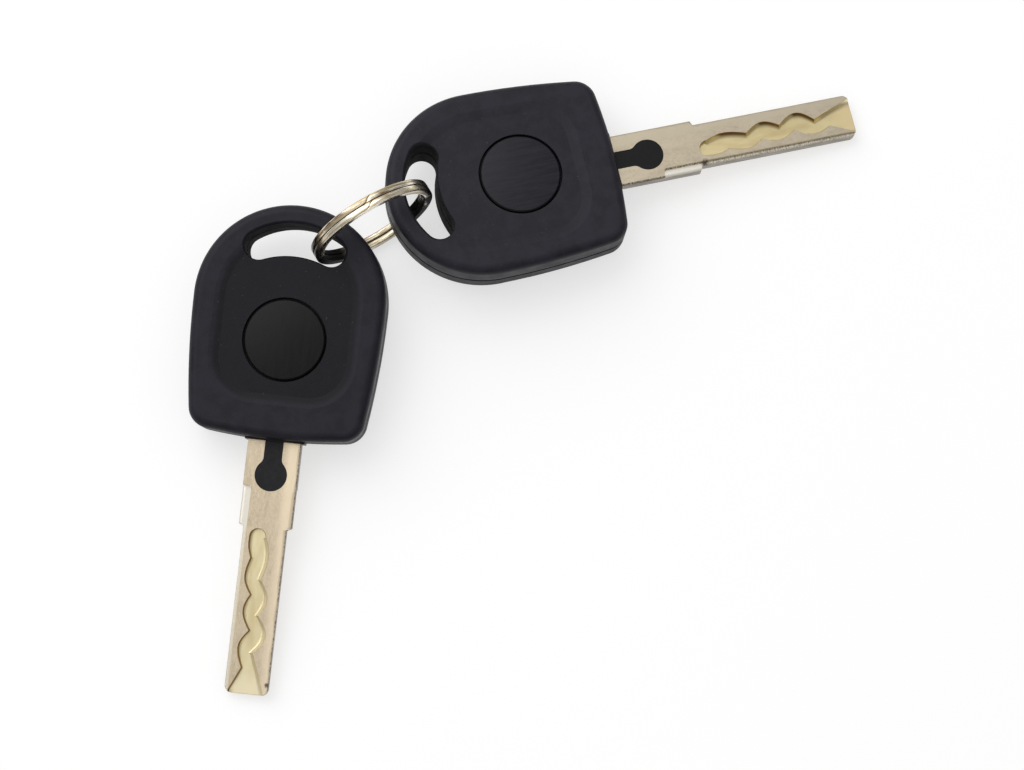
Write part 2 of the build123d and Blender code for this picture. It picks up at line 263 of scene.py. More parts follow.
def lay_over(tree, base, *layers):
    """Lays colours over a base one by one, each where its mask is 1."""
    for mask, tone in layers:
        base = mix_colours(tree, mask, base, tone)
    return base


print("middle grey, 128 in a paint program, is", round(colour(128, 128, 128)[0], 3))

# %% [markdown]
# Some effects are needed on more than one finish, so each is a node group, built once:
# a soft-edged band along an axis, fine scratches that run one way, and the mottling that
# plating shows after years in a pocket.


# %% Shared effects
def new_group(name, inputs, outputs):
    """An empty node group with named sockets."""
    group = bpy.data.node_groups.new(name, "ShaderNodeTree")
    for direction, sockets in (("INPUT", inputs), ("OUTPUT", outputs)):
        for socket_name, socket_type in sockets:
            group.interface.new_socket(socket_name, in_out=direction, socket_type=socket_type)
    start = group.nodes.new("NodeGroupInput")
    end = group.nodes.new("NodeGroupOutput")
    return group, start.outputs, end.inputs


def make_band_group():
    """1 between two values and 0 outside, with soft edges."""
    names = ("Value", "From", "To", "Softness")
    group, given, made = new_group(
        "soft_band",
        [(name, "NodeSocketFloat") for name in names],
        [("Mask", "NodeSocketFloat")],
    )
    value, low, high, soft = (given[name] for name in names)
    rise = ramp(group, value, minus(group, low, soft), low)
    fall = ramp(group, value, high, plus(group, high, soft), 1.0, 0.0)
    group.links.new(times(group, rise, fall), made["Mask"])
    return group


def make_scratch_group():
    """Thin scratches: noise on a drawn-out place, cut to its thin ridges."""
    group, given, made = new_group(
        "fine_scratches",
        [("Vector", "NodeSocketVector"), ("Amount", "NodeSocketFloat")],
        [("Mask", "NodeSocketFloat")],
    )
    cloud = noise(group, given["Vector"], 1.0, 3.0, 0.6)
    from_ridge = reckon(group, "ABSOLUTE", minus(group, cloud, 0.5))
    line = ramp(group, from_ridge, 0.0, 0.035, 1.0, 0.0)
    group.links.new(times(group, line, given["Amount"]), made["Mask"])
    return group


def make_mottle_group():
    """Plating mottle: a grain in two sizes, and the dark pits in it."""
    group, given, made = new_group(
        "plating_mottle",
        [("Vector", "NodeSocketVector"), ("Scale", "NodeSocketFloat")],
        [("Grain", "NodeSocketFloat"), ("Pits", "NodeSocketFloat")],
    )
    coarse = noise(group, given["Vector"], given["Scale"], 3.0, 0.65)
    fine = noise(group, given["Vector"], times(group, given["Scale"], 3.7), 2.0, 0.6)
    both = plus(group, times(group, coarse, 0.6), times(group, fine, 0.4))
    group.links.new(ramp(group, both, 0.36, 0.64), made["Grain"])
    group.links.new(ramp(group, both, 0.37, 0.30), made["Pits"])
    return group


band_group = make_band_group()
scratch_group = make_scratch_group()
mottle_group = make_mottle_group()
print("shared effects:", [group.name for group in (band_group, scratch_group, mottle_group)])


# %% Placing the effects
def place_group(tree, group, **inputs):
    """A group node with its inputs filled in."""
    return add_node(tree, "ShaderNodeGroup", {"node_tree": group}, **inputs)


def band(tree, value, low, high, soft):
    """The soft band's mask."""
    node = place_group(tree, band_group, Value=value, From=low, To=high, Softness=soft)
    return node.outputs["Mask"]


def scratches(tree, place, scale, amount):
    """The scratches' mask, drawn out along the axes with a small scale."""
    drawn_out = stretch(tree, place, scale)
    return place_group(tree, scratch_group, Vector=drawn_out, Amount=amount).outputs["Mask"]


# %% [markdown]
# The heads are moulded in a nearly black plastic whose mould was spark-eroded: up close
# the skin is a fine, even grain, which a bump from small noise gives. Pockets polish it
# here and there, so the roughness wanders slowly. A plain black would look like a hole;
# real black plastic is a very dark grey with a weak shine. Each key caught the light in
# its own way, so each has its own pair of tones for every moulded piece.

# %% Tones of the plastics
PLASTICS = {
    "key_a": {
        "head": (colour(27, 26, 34), colour(35, 34, 43)),
        "dish": (colour(11, 10, 17), colour(19, 18, 26)),
        "badge": (colour(5, 5, 7), colour(14, 14, 16)),
        "tongue": (colour(22, 22, 24), colour(32, 32, 35)),
        "shine": 0.21,
    },
    "key_b": {
        "head": (colour(30, 29, 37), colour(39, 38, 47)),
        "dish": (colour(28, 27, 35), colour(37, 36, 44)),
        "badge": (colour(24, 23, 31), colour(36, 35, 43)),
        "tongue": (colour(5, 5, 7), colour(12, 12, 14)),
        "shine": 0.22,
    },
}
CHIP_TONES = (colour(84, 84, 84), colour(104, 103, 100))
SHADE_TONE = colour(3, 3, 4)
DUST_TONE = colour(84, 84, 88)
BADGE_RIM_TONE = colour(14, 14, 15)
KEYS = tuple(PLASTICS)
print("keys to dress:", KEYS)

# %% Dish, slot and seam of the head
DISH_HALF_WIDTH = 12.85
DISH_BOTTOM = -11.4
DISH_TOP = 15.0
DISH_FLOOR = 4.38
SLOT_TOP_Y = 6.85
SLOT_TOP_RADIUS = 13.4
SLOT_LOW_RADIUS = 14.5
HEAD_FACE = 4.6
SEAM_HALF = 0.16
SEAM_SOFT = 0.14


def radius_from(tree, x, y, middle_y):
    """Distance from a point on the key's middle line."""
    return reach(tree, x, minus(tree, y, middle_y))


def dish_mask(tree, x, y, z):
    """1 on the floor of the thumb dish."""
    return times(
        tree,
        ramp(tree, z, DISH_FLOOR + 0.18, DISH_FLOOR + 0.06),
        ramp(tree, reckon(tree, "ABSOLUTE", x), DISH_HALF_WIDTH, DISH_HALF_WIDTH - 0.8),
        band(tree, y, DISH_BOTTOM + 0.4, DISH_TOP, 0.4),
        ramp(tree, z, DISH_FLOOR - 0.4, DISH_FLOOR - 0.2),
    )


def slot_mask(tree, x, y, z):
    """1 on the walls of the slot for the ring."""
    from_top = radius_from(tree, x, y, SLOT_TOP_Y)
    from_middle = radius_from(tree, x, y, 0.0)
    return times(
        tree,
        ramp(tree, from_top, SLOT_TOP_RADIUS + 0.25, SLOT_TOP_RADIUS + 0.1),
        ramp(tree, from_middle, SLOT_LOW_RADIUS - 0.25, SLOT_LOW_RADIUS - 0.1),
        ramp(tree, reckon(tree, "ABSOLUTE", z), HEAD_FACE - 0.15, HEAD_FACE - 0.6),
    )


slot_width = SLOT_TOP_Y + SLOT_TOP_RADIUS - SLOT_LOW_RADIUS
print("slot:", round(slot_width, 2), "mm wide, dish:", 2 * DISH_HALF_WIDTH, "mm wide")


# %% Head plastic
HEAD_GRAIN = 0.00004
finishes = {}


def make_head_plastic(piece):
    """Grained black moulding, darkest in the slot and the seam."""
    material = new_material(f"{piece}_head_plastic")
    tree = material.node_tree
    tones = PLASTICS[piece]
    place = own_millimetres(tree, piece)
    x, y, z = split_axes(tree, place)
    cloud = noise(tree, place, 0.35, 3.0, 0.6)
    share = ramp(tree, cloud, 0.35, 0.65)
    at_seam = band(tree, z, -SEAM_HALF, SEAM_HALF, SEAM_SOFT)
    in_shade = reckon(tree, "MAXIMUM", slot_mask(tree, x, y, z), at_seam)
    dust = ramp(tree, noise(tree, place, 2.6, 1.0), 0.74, 0.80, 0.0, 0.4)
    base = lay_over(
        tree,
        mix_colours(tree, share, *tones["head"]),
        (dish_mask(tree, x, y, z), mix_colours(tree, share, *tones["dish"])),
        (in_shade, SHADE_TONE),
        (dust, DUST_TONE),
    )
    polish = ramp(tree, cloud, 0.3, 0.7, 0.42, 0.54)
    skin(
        tree,
        Base_Color=base,
        Roughness=plus(tree, polish, times(tree, in_shade, 0.4)),
        Specular_IOR_Level=tones["shine"],
        Normal=bump(tree, noise(tree, place, 4.5, 2.0, 0.55), 0.5, HEAD_GRAIN),
    )
    return material


for key in KEYS:
    head_plastic = make_head_plastic(key)
    finishes[f"{key}_head_front_shell"] = head_plastic
    finishes[f"{key}_head_rear_shell"] = head_plastic
    print("made", head_plastic.name)

# %% [markdown]
# The badge is a separate disc, pressed into a round seat. It is smoother than the head
# and slightly domed, so its shine is one soft patch. The dome is too shallow for the
# measured shape, a few hundredths of a millimetre, so a bump gives it.

# %% Badge plastic
BADGE_RADIUS = 7.0
BADGE_RIM = 0.35
BADGE_BOW = 60.0
BADGE_GRAIN = 0.012


def make_badge_plastic(piece):
    """Satin disc with a slight bow and faint streaks."""
    material = new_material(f"{piece}_badge_plastic")
    tree = material.node_tree
    place = own_millimetres(tree, piece)
    x, y, _ = split_axes(tree, place)
    radius = radius_from(tree, x, y, 0.0)
    bow = reckon(tree, "DIVIDE", times(tree, radius, radius), -2 * BADGE_BOW)
    grain = times(tree, noise(tree, place, 6.0, 2.0), BADGE_GRAIN)
    streaks = noise(tree, stretch(tree, place, (2.4, 0.22, 1.0)), 1.0, 3.0, 0.6)
    rim = ramp(tree, radius, BADGE_RADIUS - BADGE_RIM, BADGE_RADIUS)
    body = mix_colours(tree, ramp(tree, streaks, 0.3, 0.7), *PLASTICS[piece]["badge"])
    skin(
        tree,
        Base_Color=mix_colours(tree, rim, body, BADGE_RIM_TONE),
        Roughness=ramp(tree, streaks, 0.2, 0.8, 0.34, 0.46),
        Specular_IOR_Level=PLASTICS[piece]["shine"],
        Normal=bump(tree, plus(tree, bow, grain), 1.0, MM),
    )
    return material


for key in KEYS:
    finishes[f"{key}_badge_disc"] = make_badge_plastic(key)
    print("made", finishes[f"{key}_badge_disc"].name)

# %% [markdown]
# The block round the blade's root is moulded in the same black plastic, but in a polished
# mould. Only its collar and the tongue in the keyhole can be seen. The capsule inside the
# head is hidden while the head is shut; it gets a dull moulded skin of its own.

# %% Carrier and capsule plastic
TONGUE_ROUGHNESS = 0.36
CHIP_ROUGHNESS = 0.5
SMOOTH_GRAIN = 0.00003


def make_smooth_plastic(piece, name, tones, roughness):
    """Smooth moulding with a faint cloud in its colour."""
    material = new_material(f"{piece}_{name}")
    tree = material.node_tree
    place = own_millimetres(tree, piece)
    cloud = noise(tree, place, 0.9, 3.0)
    skin(
        tree,
        Base_Color=mix_colours(tree, ramp(tree, cloud, 0.3, 0.7), *tones),
        Roughness=ramp(tree, cloud, 0.2, 0.8, roughness, roughness + 0.1),
        Specular_IOR_Level=PLASTICS[piece]["shine"],
        Normal=bump(tree, noise(tree, place, 5.0, 1.0), 0.25, SMOOTH_GRAIN),
    )
    return material


for key in KEYS:
    for part, name, tones, roughness in (
        ("blade_carrier", "carrier_plastic", PLASTICS[key]["tongue"], TONGUE_ROUGHNESS),
        ("transponder_chip", "chip_casing", CHIP_TONES, CHIP_ROUGHNESS),
    ):
        finishes[f"{key}_{part}"] = make_smooth_plastic(key, name, tones, roughness)
print("plastics made:", len(finishes))

# %% [markdown]
# A new piece is built as a bmesh, which is a mesh that Blender's operators can shape. At
# the end it becomes an object. Its faces are shaded smooth, but an edge where the surface
# turns sharply is kept sharp, as the corners of cut metal are.

# %% From a mesh to a piece
SMOOTH_BELOW = math.radians(50)


def finish_piece(mesh, name):
    """Makes an object of a mesh, smooth but for its sharp edges."""
    for face in mesh.faces:
        face.smooth = True
    for edge in mesh.edges:
        edge.smooth = len(edge.link_faces) == 2 and edge.calc_face_angle(0.0) < SMOOTH_BELOW
    data = bpy.data.meshes.new(name)
    mesh.to_mesh(data)
    mesh.free()
    piece = bpy.data.objects.new(name, data)
    bpy.context.scene.collection.objects.link(piece)
    return piece


def dress(obj, material):
    """Gives a piece one material."""
    obj.data.materials.clear()
    obj.data.materials.append(material)


# %% [markdown]
# The blade is stamped from flat steel and milled. Up close the edges of its track are
# scallops: round bays that meet in sharp points, with a soft foot where the cutter's
# corner was worn. The measured blade has the same track with plain straight flanks. So
# each blade gets a new skin. A flat grid is made first, and its columns are then drawn
# aside so that they follow the track's two edges, and sunk where the track, the rebate
# and the keyhole are. The back is the same skin turned half round.

# %% Sizes of the blade
BLADE_HALF = 1.30
TRACK_FLOOR = 0.45
REBATE_FLOOR = 0.60
REBATE_EDGE = 3.15
REBATE_TOP = -25.30
REBATE_CORNER = 0.60
NARROW_HALF = 3.775
WIDE_HALF = 4.60
STEP_START = -31.90
STEP_END = -32.40
ROOT_Y = -16.2
TIP_Y = -60.85
TIP_CORNER = 1.30
SOFT_EDGE = 0.10
HOLE_Y = -23.2
HOLE_RADIUS = 2.8
HOLE_FLOOR = 0.9
NECK_HALF = 1.6
NECK_FLARE = 1.5
TRACK_START_X = -0.98
TRACK_START_Y = -33.95
TRACK_START_RADIUS = 1.5
print("blade:", 2 * WIDE_HALF, "mm wide,", 2 * NARROW_HALF, "mm past its step")
print("track:", round(BLADE_HALF - TRACK_FLOOR, 2), "mm deep")

# %% Edges of the track: length, across, and whether the edge is round there or sharp
LOW_EDGE = [
    (-33.95, -2.48, True),
    (-35.00, -2.50, True),
    (-37.60, -1.87, False),
    (-40.80, -2.50, True),
    (-43.90, -1.20, False),
    (-46.60, -2.12, True),
    (-50.00, -0.73, False),
    (-53.00, -2.25, True),
    (-56.40, -1.28, False),
    (-60.30, -3.10, False),
    (-61.00, -3.40, False),
]
HIGH_EDGE = [
    (-33.95, 0.52, False),
    (-37.20, 1.30, True),
    (-41.30, 0.45, False),
    (-44.50, 1.90, True),
    (-47.40, 0.72, False),
    (-50.70, 2.34, True),
    (-53.80, 0.50, False),
    (-60.60, 3.05, False),
    (-61.00, 3.20, False),
]


def edge_at(points, y):
    """Where the track's edge lies across the blade, at a place along it."""
    for (y0, x0, round0), (y1, x1, round1) in zip(points, points[1:]):
        if y >= y1:
            share = (y0 - y) / (y0 - y1)
            if round1 and not round0:
                share = math.sin(share * math.pi / 2)
            elif round0 and not round1:
                share = 1 - math.sin((1 - share) * math.pi / 2)
            return x0 + (x1 - x0) * share
    return points[-1][1]


for y in (-40.0, -50.0, -60.0):
    width = edge_at(HIGH_EDGE, y) - edge_at(LOW_EDGE, y)
    print("track", round(width, 2), "mm wide at", y)


# %% Outlines of the blade, its keyhole and its rebate
def arc_at(radius, offset):
    """Half the width of a circle at an offset from its middle."""
    return math.sqrt(max(radius * radius - offset * offset, 0.0))


def half_width_at(y):
    """Half the blade's width, with its step and its round tip corners."""
    if y > STEP_START:
        return WIDE_HALF
    if y > STEP_END:
        share = (STEP_START - y) / (STEP_START - STEP_END)
        return WIDE_HALF + (NARROW_HALF - WIDE_HALF) * share * share * (3 - 2 * share)
    past_corner = TIP_Y + TIP_CORNER - y
    if past_corner <= 0:
        return NARROW_HALF
    return NARROW_HALF - TIP_CORNER + arc_at(TIP_CORNER, past_corner)


def keyhole_half_at(y):
    """Half the keyhole's width: a circle that flares into a neck."""
    flare_x = NECK_HALF + NECK_FLARE
    flare_rise = arc_at(HOLE_RADIUS + NECK_FLARE, flare_x)
    meeting = flare_rise * HOLE_RADIUS / (HOLE_RADIUS + NECK_FLARE)
    up = y - HOLE_Y
    if up < meeting:
        return arc_at(HOLE_RADIUS, up)
    if up < flare_rise:
        return flare_x - arc_at(NECK_FLARE, up - flare_rise)
    return NECK_HALF


def rebate_edge_at(y, half):
    """Inner edge of the rebate, with its round corner at the top."""
    if y > REBATE_TOP:
        return -half
    past = REBATE_TOP - y
    if past > REBATE_CORNER:
        return -REBATE_EDGE
    return -REBATE_EDGE - REBATE_CORNER + arc_at(REBATE_CORNER, REBATE_CORNER - past)


for y in (ROOT_Y, HOLE_Y):
    print("keyhole", round(2 * keyhole_half_at(y), 2), "mm wide at", y)


# %% What is sunk in the face
LOW_FOOT = 0.3
HIGH_FOOT = 0.55
DARK_FOOT = 0.15
HOLE_FOOT = 0.02
SLOPE_STEP = 0.05
STEEPEST_DARK = 0.34
DARK_RANGE = 0.3


def darkness_at(y):
    """Share of painted shade on the high wall, which also widens its foot: 1 where it turns back
    towards the head, 0 where it runs outwards.
    """
    rise = edge_at(HIGH_EDGE, y - SLOPE_STEP) - edge_at(HIGH_EDGE, y + SLOPE_STEP)
    slope = rise / (2 * SLOPE_STEP)
    return min(max((STEEPEST_DARK - slope) / DARK_RANGE, 0.0), 1.0)


def hollow_at(y):
    """Both edges, the floor and the width of both walls' feet of what is sunk here."""
    if y > HOLE_Y - HOLE_RADIUS:
        half = keyhole_half_at(y)
        return -half, half, HOLE_FLOOR, HOLE_FOOT, HOLE_FOOT
    if y > TRACK_START_Y + TRACK_START_RADIUS:
        return 0.0, 0.0, BLADE_HALF, 0.0, 0.0
    if y > TRACK_START_Y:
        half = arc_at(TRACK_START_RADIUS, y - TRACK_START_Y)
        foot = min(LOW_FOOT, half / 2)
        return TRACK_START_X - half, TRACK_START_X + half, TRACK_FLOOR, foot, foot
    high_foot = HIGH_FOOT + DARK_FOOT * darkness_at(y)
    return edge_at(LOW_EDGE, y), edge_at(HIGH_EDGE, y), TRACK_FLOOR, LOW_FOOT, high_foot


print("darkness along one bay:", [round(darkness_at(y), 2) for y in (-43.0, -45.0, -47.0)])


# %% Section of the blade
# Share of a wall's foot and of its depth, from the top edge down to the floor
LOW_WALL = [(0.0, 0.0), (0.22, 0.42), (0.5, 0.8), (1.0, 1.0)]
HIGH_WALL = [(0.0, 0.0), (0.3, 0.34), (0.62, 0.76), (1.0, 1.0)]
REBATE_WALL = 0.04
LEAST_LAND = 0.05


def section_at(bends, across):
    """Height and wall share of the section at a place across it."""
    for (x0, z0, wall0), (x1, z1, wall1) in zip(bends, bends[1:]):
        if across <= x1:
            share = (across - x0) / (x1 - x0) if x1 > x0 else 1.0
            share = min(max(share, 0.0), 1.0)
            return z0 + (z1 - z0) * share, wall0 + (wall1 - wall0) * share
    return bends[-1][1:]


def knots_at(y):
    """Across, height and wall share of each bend in the blade's section, low to high."""
    half = half_width_at(y)
    low, high, floor, low_foot, high_foot = hollow_at(y)
    shelf = REBATE_FLOOR if y < REBATE_TOP else BLADE_HALF
    shelf_edge = rebate_edge_at(y, half)
    low = max(low, shelf_edge + LEAST_LAND)
    bends = [(shelf_edge - REBATE_WALL, shelf, 0), (shelf_edge + REBATE_WALL, BLADE_HALF, 0)]
    depth = BLADE_HALF - floor
    for out, down in LOW_WALL:
        bends.append((low + low_foot * out, BLADE_HALF - depth * down, -1 + out))
    for out, down in reversed(HIGH_WALL):
        bends.append((high - high_foot * out, BLADE_HALF - depth * down, 1 - out))
    room = half - SOFT_EDGE
    knots = [(-half, section_at(bends, -half)[0] - SOFT_EDGE, 0)]
    for across in [-room] + [bend[0] for bend in bends] + [room]:
        across = min(max(across, -room), room)
        knots.append((across, *section_at(bends, across)))
    knots.append((half, section_at(bends, half)[0] - SOFT_EDGE, 0))
    return knots


print("bends in the section:", len(knots_at(TRACK_START_Y)))

# %% Rows and columns of the grid
ROW_STEP = 0.125
CLOSE_ROWS = (-0.06, -0.03, -0.01, 0.01)
SEGMENTS = [2, 3, 2, 6, 2, 2, 2, 8, 2, 2, 2, 7, 2]


def blade_rows():
    """Places along the blade, closer together where its outline turns quickly."""
    rows = {ROOT_Y, REBATE_TOP - REBATE_WALL, TIP_Y + 0.03, TIP_Y}
    steps = int((ROOT_Y - TIP_Y) / ROW_STEP)
    rows.update(ROOT_Y + (TIP_Y - ROOT_Y) * step / steps for step in range(steps + 1))
    track_top = TRACK_START_Y + TRACK_START_RADIUS
    for turn in (HOLE_Y - HOLE_RADIUS, track_top, REBATE_TOP, TIP_Y + 0.1):
        rows.update(turn + offset for offset in CLOSE_ROWS)
    rows.update(y for y, _, is_round in LOW_EDGE[1:-1] + HIGH_EDGE[1:-1] if not is_round)
    return sorted(row for row in rows if TIP_Y <= row <= ROOT_Y)


def row_shape(y):
    """Across, height, wall share and darkness at each column of one row."""
    knots = knots_at(y)
    dark = darkness_at(y) if y < TRACK_START_Y else 0.5
    fall = min((y - TIP_Y) / SOFT_EDGE, 1.0) * SOFT_EDGE - SOFT_EDGE
    line = []
    for first, last, count in zip(knots, knots[1:], SEGMENTS):
        for step in range(count):
            share = step / count
            line.append([a + (b - a) * share for a, b in zip(first, last)])
    line.append(knots[-1])
    return [(across, height + fall, wall, dark) for across, height, wall in line]


print("grid:", len(blade_rows()), "rows of", sum(SEGMENTS) + 1, "points")


# %% Blade
def make_blade(piece):
    """A grid drawn to the blade's shape, its half turn, and the sides between them."""
    rows = blade_rows()
    shape = [row_shape(y) for y in rows]
    last_row = len(rows) - 1
    last_column = sum(SEGMENTS)
    mesh = bmesh.new()
    side = mesh.verts.layers.float.new("side")
    low_wall = mesh.verts.layers.float.new("low_wall")
    high_wall = mesh.verts.layers.float.new("high_wall")
    made = bmesh.ops.create_grid(mesh, x_segments=last_column, y_segments=last_row, size=0.5)
    for vert in made["verts"]:
        column = round((vert.co.x + 0.5) * last_column)
        row = round((vert.co.y + 0.5) * last_row)
        across, height, wall, dark = shape[row][column]
        vert[side] = 1.0 if column in (0, last_column) or row in (0, last_row) else 0.0
        # The wall values carry where the painted light and shade of the track walls go
        if rows[row] < TRACK_START_Y + TRACK_START_RADIUS:
            vert[low_wall] = max(-wall, 0.0)
            vert[high_wall] = max(wall, 0.0) * dark
        vert.co = (across, rows[row], height)
    copy = bmesh.ops.duplicate(mesh, geom=mesh.verts[:] + mesh.edges[:] + mesh.faces[:])
    back = [item for item in copy["geom"] if isinstance(item, bmesh.types.BMVert)]
    half_turn = Matrix.Rotation(math.pi, 3, "Y")
    bmesh.ops.rotate(mesh, cent=(0, 0, 0), matrix=half_turn, verts=back)
    rim = [edge for edge in mesh.edges if edge.is_boundary]
    bmesh.ops.bridge_loops(mesh, edges=rim)
    bmesh.ops.recalc_face_normals(mesh, faces=mesh.faces)
    bmesh.ops.transform(mesh, matrix=place_matrix(piece), verts=mesh.verts)
    print(piece, "blade:", len(mesh.faces), "faces")
    return finish_piece(mesh, f"{piece}_milled_blade")


blades = {}
for key in KEYS:
    blades[key] = make_blade(key)
    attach(blades[key], key)
    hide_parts(f"{key}_blade")

# %% [markdown]
# The blade is plated before it is milled, so it has several finishes on one piece: a
# speckled flat face, and a rebate and a track cut bright by the cutter. Each finish lies
# at its own depth below the face, so the height in the key's own millimetres tells them
# apart. The sides and the walls of the track are told apart by values stored on the mesh.
# The two blades took the light differently. Key A's shows a painted reflection of a bright
# warm sky along one edge, painted shade on the low wall of its track, and a far wall worn
# matt, and key B's is duller, with painted dark reflections in the bays of its track.
# Painted shade lies in a dotted line along the edges that face away from the lamp: along
# the far edge of A and in the rebate of B.

# %% Tones of the blades
# The wall tones are painted light and shade: A's low wall and B's high wall are painted dark,
# the other walls pale
BLADES = {
    "key_a": {
        "face": (colour(193, 178, 153), colour(212, 197, 171)),
        "edge": colour(240, 222, 193),
        "track": (colour(214, 198, 156), colour(233, 221, 181)),
        "mouth": colour(242, 230, 195),
        "rebate": colour(226, 218, 199),
        "wall": colour(226, 213, 176),
        "low_wall": colour(172, 144, 104),
        "high_wall": colour(228, 215, 178),
        "matt_wall": 0.75,
        "specks": 0.1,
        "edge_shade_line": "far",
        "spot": (3.5, -59.0, 0.62),
    },
    "key_b": {
        "face": (colour(181, 169, 148), colour(199, 187, 165)),
        "edge": colour(196, 185, 163),
        "track": (colour(202, 184, 139), colour(220, 205, 161)),
        "mouth": colour(224, 205, 160),
        "rebate": colour(224, 216, 200),
        "wall": colour(240, 228, 188),
        "low_wall": colour(206, 190, 146),
        "high_wall": colour(132, 105, 62),
        "matt_wall": 0.0,
        "specks": 0.6,
        "edge_shade_line": "rebate",
        "spot": (-3.4, -32.9, 0.85),
    },
}
FACE_PIT = colour(150, 132, 108)
REBATE_TONE = colour(229, 224, 212)
SIDE_TONE = colour(176, 170, 160)
SIDE_DULL = colour(120, 114, 104)
# Colour of the painted shade along the blades' edges, and of one dark spot
EDGE_SHADE_TONE = colour(70, 52, 34)
print("blade tones for", sorted(BLADES))


# %% Painted shade along the blades' edges
def edge_shade_line(tree, piece, across, y):
    """The line of painted shade on edges that face away from the lamp: along the far edge, or
    along the rebate and the rim.
    """
    half = ramp(tree, y, STEP_END, STEP_START, NARROW_HALF, WIDE_HALF)
    if BLADES[piece]["edge_shade_line"] == "far":
        return ramp(tree, minus(tree, half, across), 0.16, 0.06)
    from_rebate = reckon(tree, "ABSOLUTE", plus(tree, across, REBATE_EDGE + 0.05))
    beside_rebate = times(
        tree,
        ramp(tree, from_rebate, 0.12, 0.04),
        ramp(tree, y, REBATE_TOP - 0.1, REBATE_TOP - 0.7),
        ramp(tree, y, STEP_END - 1.1, STEP_END + 0.4, 0.45, 1.0),
    )
    from_rim = plus(tree, across, half)
    beside_rim = times(
        tree,
        ramp(tree, from_rim, 0.2, 0.08),
        ramp(tree, y, REBATE_TOP - 0.1, REBATE_TOP + 0.3),
    )
    return reckon(tree, "MAXIMUM", beside_rebate, beside_rim)


def edge_shade_and_spot_mask(tree, piece, place, across, y):
    """A dotted line of painted shade, and one dark spot."""
    dots = ramp(tree, noise(tree, place, 2.6, 2.0, 0.7), 0.42, 0.58)
    line = times(tree, edge_shade_line(tree, piece, across, y), dots)
    spot_x, spot_y, spot_radius = BLADES[piece]["spot"]
    from_spot = reach(tree, minus(tree, across, spot_x), minus(tree, y, spot_y))
    spot = ramp(tree, from_spot, spot_radius, spot_radius * 0.3)
    spot = times(tree, spot, ramp(tree, dots, 0.0, 0.6, 0.4, 1.0))
    return reckon(tree, "MAXIMUM", line, spot)


# %% Colours of the blade's cuts
def face_colour(tree, tones, place, across, rubbed, grain, pits):
    """Speckled plating, rubbed pale in patches, with a painted reflection of the sky that makes
    it paler along the far edge.
    """
    return lay_over(
        tree,
        mix_colours(tree, ramp(tree, grain, 0.0, 1.0, 0.1, 0.9), *tones["face"]),
        (ramp(tree, rubbed, 0.35, 0.7, 0.0, 0.6), tones["face"][1]),
        # Painted reflection of the sky: the face grows paler towards the far edge
        (ramp(tree, across, 1.4, 3.4, 0.0, 0.85), tones["edge"]),
        (times(tree, pits, 0.35), FACE_PIT),
        (scratches(tree, place, (2.2, 0.2, 1.0), 0.3), tones["edge"]),
    )


def track_colour(tree, tones, y, rubbed):
    """The milled floor, paler in the mouth at the tip."""
    track = mix_colours(tree, ramp(tree, rubbed, 0.3, 0.7), *tones["track"])
    return mix_colours(tree, ramp(tree, y, -55.0, -60.0), track, tones["mouth"])


def rebate_colour(tree, tones, place, y, pits):
    """The cut floor of the rebate, speckled past the step."""
    specks = noise(tree, stretch(tree, place, (1.0, 2.4, 1.0)), 2.2, 3.0, 0.75)
    past_step = ramp(tree, y, STEP_END + 0.4, STEP_END - 0.4)
    before_step = ramp(tree, y, STEP_END - 0.2, STEP_START)
    return lay_over(
        tree,
        mix_colours(tree, before_step, tones["rebate"], REBATE_TONE),
        (ramp(tree, pits, 0.0, 1.0, 0.0, 0.4), SIDE_TONE),
        (times(tree, ramp(tree, specks, 0.46, 0.6), past_step, tones["specks"]), SIDE_DULL),
    )


def side_colour(tree, place):
    """The stamped sides, streaked along the blade."""
    streaks = noise(tree, stretch(tree, place, (1.0, 0.25, 5.0)), 1.0, 3.0, 0.7)
    return mix_colours(tree, ramp(tree, streaks, 0.35, 0.65), SIDE_DULL, SIDE_TONE)


# %% Where each finish of the blade lies
FAR_WALL_FROM = -0.3
FAR_WALL_TO = 3.3


def attribute(tree, name):
    """A value stored on the mesh."""
    return add_node(tree, "ShaderNodeAttribute", {"attribute_name": name}).outputs["Fac"]


def cut_masks(tree, across, y, depth):
    """A mask for each cut of the blade, from its depth and the values on the mesh."""
    on_face = ramp(tree, depth, BLADE_HALF - 0.16, BLADE_HALF - 0.05)
    on_track = ramp(tree, depth, TRACK_FLOOR + 0.18, TRACK_FLOOR + 0.02)
    below_face = ramp(tree, depth, BLADE_HALF, BLADE_HALF - 0.12)
    return {
        "face": on_face,
        "track": on_track,
        "rebate": times(
            tree,
            ramp(tree, across, -REBATE_EDGE + 0.03, -REBATE_EDGE - 0.01),
            ramp(tree, depth, REBATE_FLOOR + 0.30, REBATE_FLOOR + 0.10),
            ramp(tree, y, REBATE_TOP + 0.03, REBATE_TOP - 0.01),
        ),
        "side": ramp(tree, attribute(tree, "side"), 0.8, 0.98),
        "low_wall": times(tree, ramp(tree, attribute(tree, "low_wall"), 0.05, 0.6), below_face),
        "high_wall": times(tree, ramp(tree, attribute(tree, "high_wall"), 0.0, 0.7), below_face),
        "far_wall": times(
            tree,
            minus(tree, 1.0, on_face),
            minus(tree, 1.0, on_track),
            band(tree, across, FAR_WALL_FROM, FAR_WALL_TO, 0.05),
        ),
    }


# %% Blade steel
PLATING_GRAIN = 0.005


